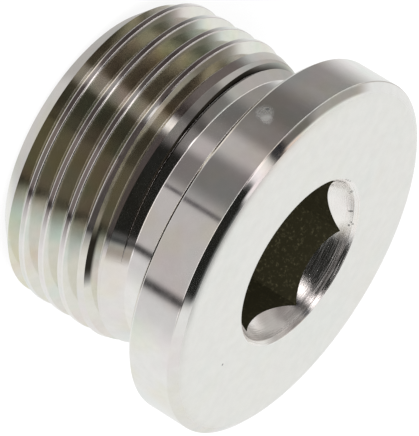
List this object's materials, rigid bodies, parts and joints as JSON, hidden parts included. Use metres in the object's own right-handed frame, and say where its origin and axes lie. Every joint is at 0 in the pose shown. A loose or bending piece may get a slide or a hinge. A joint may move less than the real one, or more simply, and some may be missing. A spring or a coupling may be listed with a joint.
{
  "type": "hex socket plug",
  "caption": "Steel screw plug with a round collar, an internal hex in its face, an undercut below the collar and a straight threaded shank.",
  "frame": {"origin": "centre of the flat end of the threaded shank, on which the plug stands", "axes": "+Z along the axis from the shank's end towards the face with the hex socket; a corner of the hexagon points along +X"},
  "size_m": [0.032, 0.032, 0.0212],
  "materials": {
    "steel": "turned steel with a bright zinc plating and faint iridescent tints"
  },
  "bodies": {
    "root": {"plug_body": "steel"}
  },
  "joints": []
}
